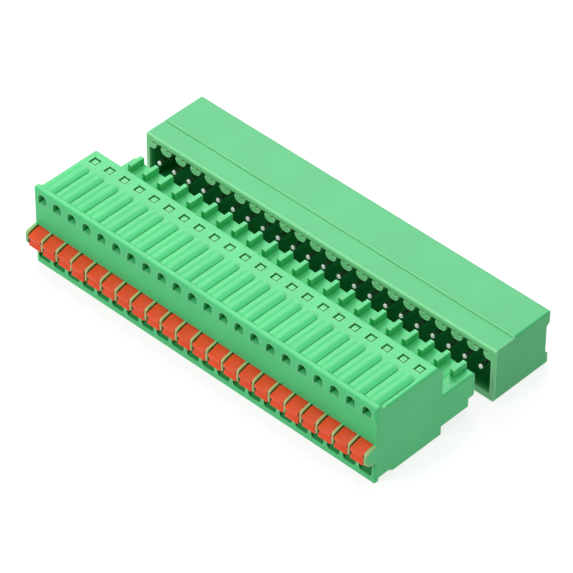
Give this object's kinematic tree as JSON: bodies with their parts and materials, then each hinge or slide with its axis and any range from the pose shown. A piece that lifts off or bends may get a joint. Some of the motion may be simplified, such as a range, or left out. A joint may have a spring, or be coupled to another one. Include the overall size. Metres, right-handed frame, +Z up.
{
  "type": "pluggable terminal block",
  "caption": "Pluggable terminal block pulled apart: a ribbed plug with sprung wire clamps worked by push buttons, and the pin header it slides into, lying in line",
  "frame": {"origin": "the middle of the footprint of plug and header together, on the surface they lie on", "axes": "+X along the row of poles, +Y from the wire side of the plug to the board side of the header, +Z up from the surface"},
  "size_m": [0.0568, 0.033, 0.0117],
  "materials": {
    "housing": "satin moulded green plastic",
    "buttons": "satin moulded orange plastic",
    "pins": "bright tin plating",
    "contacts": "tin plated strip",
    "springs": "bright spring steel"
  },
  "bodies": {
    "header": {"header_housing": "housing", "header_pins": "pins"},
    "plug": {"plug_housing": "housing", "plug_contacts": "contacts", "clamp_spring_01": "springs", "clamp_spring_02": "springs", "clamp_spring_03": "springs", "clamp_spring_04": "springs", "clamp_spring_05": "springs", "clamp_spring_06": "springs", "clamp_spring_07": "springs", "clamp_spring_08": "springs", "clamp_spring_09": "springs", "clamp_spring_10": "springs", "clamp_spring_11": "springs", "clamp_spring_12": "springs", "clamp_spring_13": "springs", "clamp_spring_14": "springs", "clamp_spring_15": "springs", "clamp_spring_16": "springs", "clamp_spring_17": "springs", "clamp_spring_18": "springs", "clamp_spring_19": "springs", "clamp_spring_20": "springs", "clamp_spring_21": "springs", "clamp_spring_22": "springs"},
    "button_01": {"push_button_01": "buttons"},
    "button_02": {"push_button_02": "buttons"},
    "button_03": {"push_button_03": "buttons"},
    "button_04": {"push_button_04": "buttons"},
    "button_05": {"push_button_05": "buttons"},
    "button_06": {"push_button_06": "buttons"},
    "button_07": {"push_button_07": "buttons"},
    "button_08": {"push_button_08": "buttons"},
    "button_09": {"push_button_09": "buttons"},
    "button_10": {"push_button_10": "buttons"},
    "button_11": {"push_button_11": "buttons"},
    "button_12": {"push_button_12": "buttons"},
    "button_13": {"push_button_13": "buttons"},
    "button_14": {"push_button_14": "buttons"},
    "button_15": {"push_button_15": "buttons"},
    "button_16": {"push_button_16": "buttons"},
    "button_17": {"push_button_17": "buttons"},
    "button_18": {"push_button_18": "buttons"},
    "button_19": {"push_button_19": "buttons"},
    "button_20": {"push_button_20": "buttons"},
    "button_21": {"push_button_21": "buttons"},
    "button_22": {"push_button_22": "buttons"}
  },
  "joints": [
    {"name": "plug_in", "type": "slide", "parent": "header", "child": "plug", "axis": [0, 1, 0], "range_m": [0, 0.008]},
    {"name": "button_press_01", "type": "slide", "parent": "plug", "child": "button_01", "axis": [0, 1, 0], "range_m": [0, 0.001], "stiffness_N_per_m": 1000, "deforming": ["clamp_spring_01"]},
    {"name": "button_press_02", "type": "slide", "parent": "plug", "child": "button_02", "axis": [0, 1, 0], "range_m": [0, 0.0011], "stiffness_N_per_m": 1000, "deforming": ["clamp_spring_02"]},
    {"name": "button_press_03", "type": "slide", "parent": "plug", "child": "button_03", "axis": [0, 1, 0], "range_m": [0, 0.001], "stiffness_N_per_m": 1000, "deforming": ["clamp_spring_03"]},
    {"name": "button_press_04", "type": "slide", "parent": "plug", "child": "button_04", "axis": [0, 1, 0], "range_m": [0, 0.0012], "stiffness_N_per_m": 1000, "deforming": ["clamp_spring_04"]},
    {"name": "button_press_05", "type": "slide", "parent": "plug", "child": "button_05", "axis": [0, 1, 0], "range_m": [0, 0.001], "stiffness_N_per_m": 1000, "deforming": ["clamp_spring_05"]},
    {"name": "button_press_06", "type": "slide", "parent": "plug", "child": "button_06", "axis": [0, 1, 0], "range_m": [0, 0.001], "stiffness_N_per_m": 1000, "deforming": ["clamp_spring_06"]},
    {"name": "button_press_07", "type": "slide", "parent": "plug", "child": "button_07", "axis": [0, 1, 0], "range_m": [0, 0.001], "stiffness_N_per_m": 1000, "deforming": ["clamp_spring_07"]},
    {"name": "button_press_08", "type": "slide", "parent": "plug", "child": "button_08", "axis": [0, 1, 0], "range_m": [0, 0.001], "stiffness_N_per_m": 1000, "deforming": ["clamp_spring_08"]},
    {"name": "button_press_09", "type": "slide", "parent": "plug", "child": "button_09", "axis": [0, 1, 0], "range_m": [0, 0.001], "stiffness_N_per_m": 1000, "deforming": ["clamp_spring_09"]},
    {"name": "button_press_10", "type": "slide", "parent": "plug", "child": "button_10", "axis": [0, 1, 0], "range_m": [0, 0.001], "stiffness_N_per_m": 1000, "deforming": ["clamp_spring_10"]},
    {"name": "button_press_11", "type": "slide", "parent": "plug", "child": "button_11", "axis": [0, 1, 0], "range_m": [0, 0.001], "stiffness_N_per_m": 1000, "deforming": ["clamp_spring_11"]},
    {"name": "button_press_12", "type": "slide", "parent": "plug", "child": "button_12", "axis": [0, 1, 0], "range_m": [0, 0.001], "stiffness_N_per_m": 1000, "deforming": ["clamp_spring_12"]},
    {"name": "button_press_13", "type": "slide", "parent": "plug", "child": "button_13", "axis": [0, 1, 0], "range_m": [0, 0.001], "stiffness_N_per_m": 1000, "deforming": ["clamp_spring_13"]},
    {"name": "button_press_14", "type": "slide", "parent": "plug", "child": "button_14", "axis": [0, 1, 0], "range_m": [0, 0.001], "stiffness_N_per_m": 1000, "deforming": ["clamp_spring_14"]},
    {"name": "button_press_15", "type": "slide", "parent": "plug", "child": "button_15", "axis": [0, 1, 0], "range_m": [0, 0.001], "stiffness_N_per_m": 1000, "deforming": ["clamp_spring_15"]},
    {"name": "button_press_16", "type": "slide", "parent": "plug", "child": "button_16", "axis": [0, 1, 0], "range_m": [0, 0.001], "stiffness_N_per_m": 1000, "deforming": ["clamp_spring_16"]},
    {"name": "button_press_17", "type": "slide", "parent": "plug", "child": "button_17", "axis": [0, 1, 0], "range_m": [0, 0.001], "stiffness_N_per_m": 1000, "deforming": ["clamp_spring_17"]},
    {"name": "button_press_18", "type": "slide", "parent": "plug", "child": "button_18", "axis": [0, 1, 0], "range_m": [0, 0.0012], "stiffness_N_per_m": 1000, "deforming": ["clamp_spring_18"]},
    {"name": "button_press_19", "type": "slide", "parent": "plug", "child": "button_19", "axis": [0, 1, 0], "range_m": [0, 0.001], "stiffness_N_per_m": 1000, "deforming": ["clamp_spring_19"]},
    {"name": "button_press_20", "type": "slide", "parent": "plug", "child": "button_20", "axis": [0, 1, 0], "range_m": [0, 0.001], "stiffness_N_per_m": 1000, "deforming": ["clamp_spring_20"]},
    {"name": "button_press_21", "type": "slide", "parent": "plug", "child": "button_21", "axis": [0, 1, 0], "range_m": [0, 0.001], "stiffness_N_per_m": 1000, "deforming": ["clamp_spring_21"]},
    {"name": "button_press_22", "type": "slide", "parent": "plug", "child": "button_22", "axis": [0, 1, 0], "range_m": [0, 0.001], "stiffness_N_per_m": 1000, "deforming": ["clamp_spring_22"]}
  ]
}
